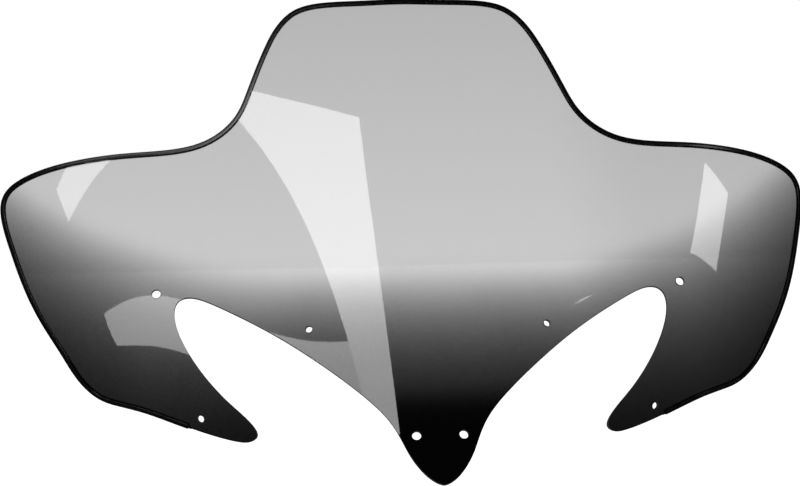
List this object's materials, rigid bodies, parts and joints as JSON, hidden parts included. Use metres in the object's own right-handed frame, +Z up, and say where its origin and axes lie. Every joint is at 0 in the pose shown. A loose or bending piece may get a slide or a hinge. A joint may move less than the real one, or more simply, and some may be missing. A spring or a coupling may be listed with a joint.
{
  "type": "windshield screen",
  "caption": "Wrap-round windshield screen with a raised crown, flared wings, a pointed beak between two cut-outs, fixing holes and an edge trim.",
  "frame": {"origin": "centre of the bounding box, on the screen's plane of symmetry", "axes": "+X along the screen's width, to the viewer's right when facing the convex outside; -Y out of the convex outside, towards oncoming air; +Z up, from the beak to the crown, with the screen leaning back as pictured"},
  "size_m": [0.7968, 0.2592, 0.4658],
  "materials": {
    "smoke_sheet": "glossy smoke-tinted clear plastic that fades to black at the lower edge",
    "black_vinyl": "satin black flexible vinyl",
    "glue": "cured black adhesive"
  },
  "bodies": {
    "root": {"screen_sheet": "smoke_sheet", "edge_trim": "black_vinyl", "trim_glue": "glue"}
  },
  "joints": []
}
